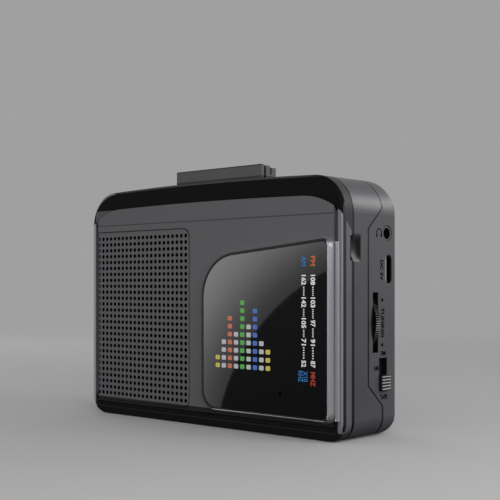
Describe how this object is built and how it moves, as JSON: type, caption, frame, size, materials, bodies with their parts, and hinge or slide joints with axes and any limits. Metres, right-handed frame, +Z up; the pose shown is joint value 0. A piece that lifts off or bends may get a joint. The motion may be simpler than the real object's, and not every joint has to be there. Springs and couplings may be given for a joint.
{
  "type": "portable cassette player",
  "caption": "Pocket cassette player with a radio: hinged front door with speaker grille and dial window, keys on the top, and wheels, a switch and sockets on its side.",
  "frame": {"origin": "middle of the flat base, under the body's middle in depth", "axes": "-Y out of the front with the door, +X to the right of somebody facing the front, +Z up towards the keys"},
  "size_m": [0.1205, 0.0341, 0.0882],
  "materials": {
    "body_grey": "matt painted",
    "front_plate": "brushed and anodised dark",
    "band_black": "matt",
    "lens_black": "glossy with a printed dial",
    "bezel_grey": "satin",
    "mesh_grey": "satin",
    "light_red": "clear dark",
    "steel": "bright",
    "chassis_steel": "satin",
    "spring_steel": "bright",
    "brass": "turned",
    "belt_rubber": "matt",
    "spindle_white": "satin",
    "gear_cream": "satin",
    "board_green": "lacquered",
    "chip_black": "matt",
    "ferrite": "matt",
    "coil_copper": "wound wire",
    "socket_black": "glossy",
    "control_black": "satin",
    "cone_black": "paper"
  },
  "bodies": {
    "body": {"front_frame": "band_black", "hinge_pins": "steel", "middle_housing": "body_grey", "rear_cover": "body_grey", "chassis_plate": "chassis_steel", "deck_pins": "steel", "motor_posts": "brass", "motor_can": "steel", "key_bracket": "chassis_steel", "key_guard": "body_grey", "play_spring": "spring_steel", "forward_spring": "spring_steel", "stop_spring": "spring_steel", "capstan_bush": "brass", "drive_belt": "belt_rubber", "tuning_capacitor": "chip_black", "volume_control": "chip_black", "mode_switch_body": "chip_black", "headphone_jack": "socket_black", "charging_port": "steel", "charging_tongue": "socket_black", "circuit_board": "board_green", "board_chips": "chip_black", "antenna_rod": "ferrite", "antenna_coil": "coil_copper", "battery_contacts": "spring_steel", "cover_screws": "steel"},
    "door": {"door_shell": "body_grey", "door_front_plate": "front_plate", "speaker_grille": "mesh_grey", "window_bezel": "bezel_grey", "window_lens": "lens_black", "indicator_light": "light_red", "cassette_springs": "spring_steel", "speaker_basket": "chassis_steel", "speaker_cone": "cone_black", "speaker_magnet": "steel"},
    "battery_door": {"battery_door": "body_grey"},
    "play_key": {"play_key": "body_grey"},
    "forward_key": {"forward_key": "body_grey"},
    "stop_key": {"stop_key": "body_grey"},
    "head_slide": {"head_plate": "chassis_steel", "tape_head": "steel"},
    "pinch_arm": {"pinch_arm": "chassis_steel"},
    "pinch_roller": {"pinch_roller": "belt_rubber"},
    "flywheel": {"capstan": "steel", "flywheel": "brass"},
    "motor_pulley": {"motor_pulley": "brass"},
    "take_up_reel": {"take_up_spindle": "spindle_white", "take_up_gear": "gear_cream"},
    "supply_reel": {"supply_spindle": "spindle_white", "supply_gear": "gear_cream"},
    "tuning_wheel": {"tuning_wheel": "control_black", "tuning_shaft": "steel"},
    "volume_wheel": {"volume_wheel": "control_black", "volume_shaft": "steel"},
    "mode_knob": {"mode_switch_knob": "control_black"}
  },
  "joints": [
    {"name": "door_hinge", "type": "hinge", "parent": "body", "child": "door", "pos_m": [0, -0.01415, 0.006], "axis": [1, 0, 0], "range_deg": [0, 50]},
    {"name": "battery_door_slide", "type": "slide", "parent": "body", "child": "battery_door", "axis": [-1, 0, 0], "range_m": [0, 0.034]},
    {"name": "play_press", "type": "slide", "parent": "body", "child": "play_key", "axis": [0, 0, -1], "range_m": [0, 0.003], "stiffness_N_per_m": 200, "springref_m": -0.0005, "deforming": ["play_spring"]},
    {"name": "forward_press", "type": "slide", "parent": "body", "child": "forward_key", "axis": [0, 0, -1], "range_m": [0, 0.003], "stiffness_N_per_m": 200, "springref_m": -0.0005, "deforming": ["forward_spring"]},
    {"name": "stop_press", "type": "slide", "parent": "body", "child": "stop_key", "axis": [0, 0, -1], "range_m": [0, 0.003], "stiffness_N_per_m": 200, "springref_m": -0.0005, "deforming": ["stop_spring"]},
    {"name": "head_slide", "type": "slide", "parent": "body", "child": "head_slide", "axis": [0, 0, -1], "range_m": [0, 0.0024]},
    {"name": "pinch_swing", "type": "hinge", "parent": "body", "child": "pinch_arm", "pos_m": [0.039, -0.00125, 0.0724], "axis": [0, -1, 0], "range_deg": [0, 27.6]},
    {"name": "pinch_spin", "type": "hinge", "parent": "pinch_arm", "child": "pinch_roller", "pos_m": [0.0275, -0.00545, 0.0742], "axis": [0, 1, 0], "continuous": true},
    {"name": "capstan_spin", "type": "hinge", "parent": "body", "child": "flywheel", "pos_m": [0.0275, 0.00265, 0.0628], "axis": [0, 1, 0], "continuous": true},
    {"name": "motor_spin", "type": "hinge", "parent": "body", "child": "motor_pulley", "pos_m": [-0.03, 0.00225, 0.069], "axis": [0, 1, 0], "continuous": true},
    {"name": "take_up_spin", "type": "hinge", "parent": "body", "child": "take_up_reel", "pos_m": [0.02125, 0.00025, 0.0349], "axis": [0, 1, 0], "continuous": true},
    {"name": "supply_spin", "type": "hinge", "parent": "body", "child": "supply_reel", "pos_m": [-0.02125, 0.00025, 0.0349], "axis": [0, 1, 0], "continuous": true},
    {"name": "tuning_turn", "type": "hinge", "parent": "body", "child": "tuning_wheel", "pos_m": [0.0477, 0.00125, 0.0361], "axis": [0, 1, 0], "range_deg": [-135, 135]},
    {"name": "volume_turn", "type": "hinge", "parent": "body", "child": "volume_wheel", "pos_m": [-0.0526, 0.00125, 0.0666], "axis": [0, 1, 0], "range_deg": [-135, 135]},
    {"name": "mode_slide", "type": "slide", "parent": "body", "child": "mode_knob", "axis": [0, 0, 1], "range_m": [0, 0.005]}
  ],
  "couplings": [
    {"joint": "head_slide", "follows": "play_press", "ratio": 0.8},
    {"joint": "pinch_swing", "follows": "play_press", "rad_per_m": 160},
    {"joint": "motor_spin", "follows": "capstan_spin", "ratio": 4}
  ]
}
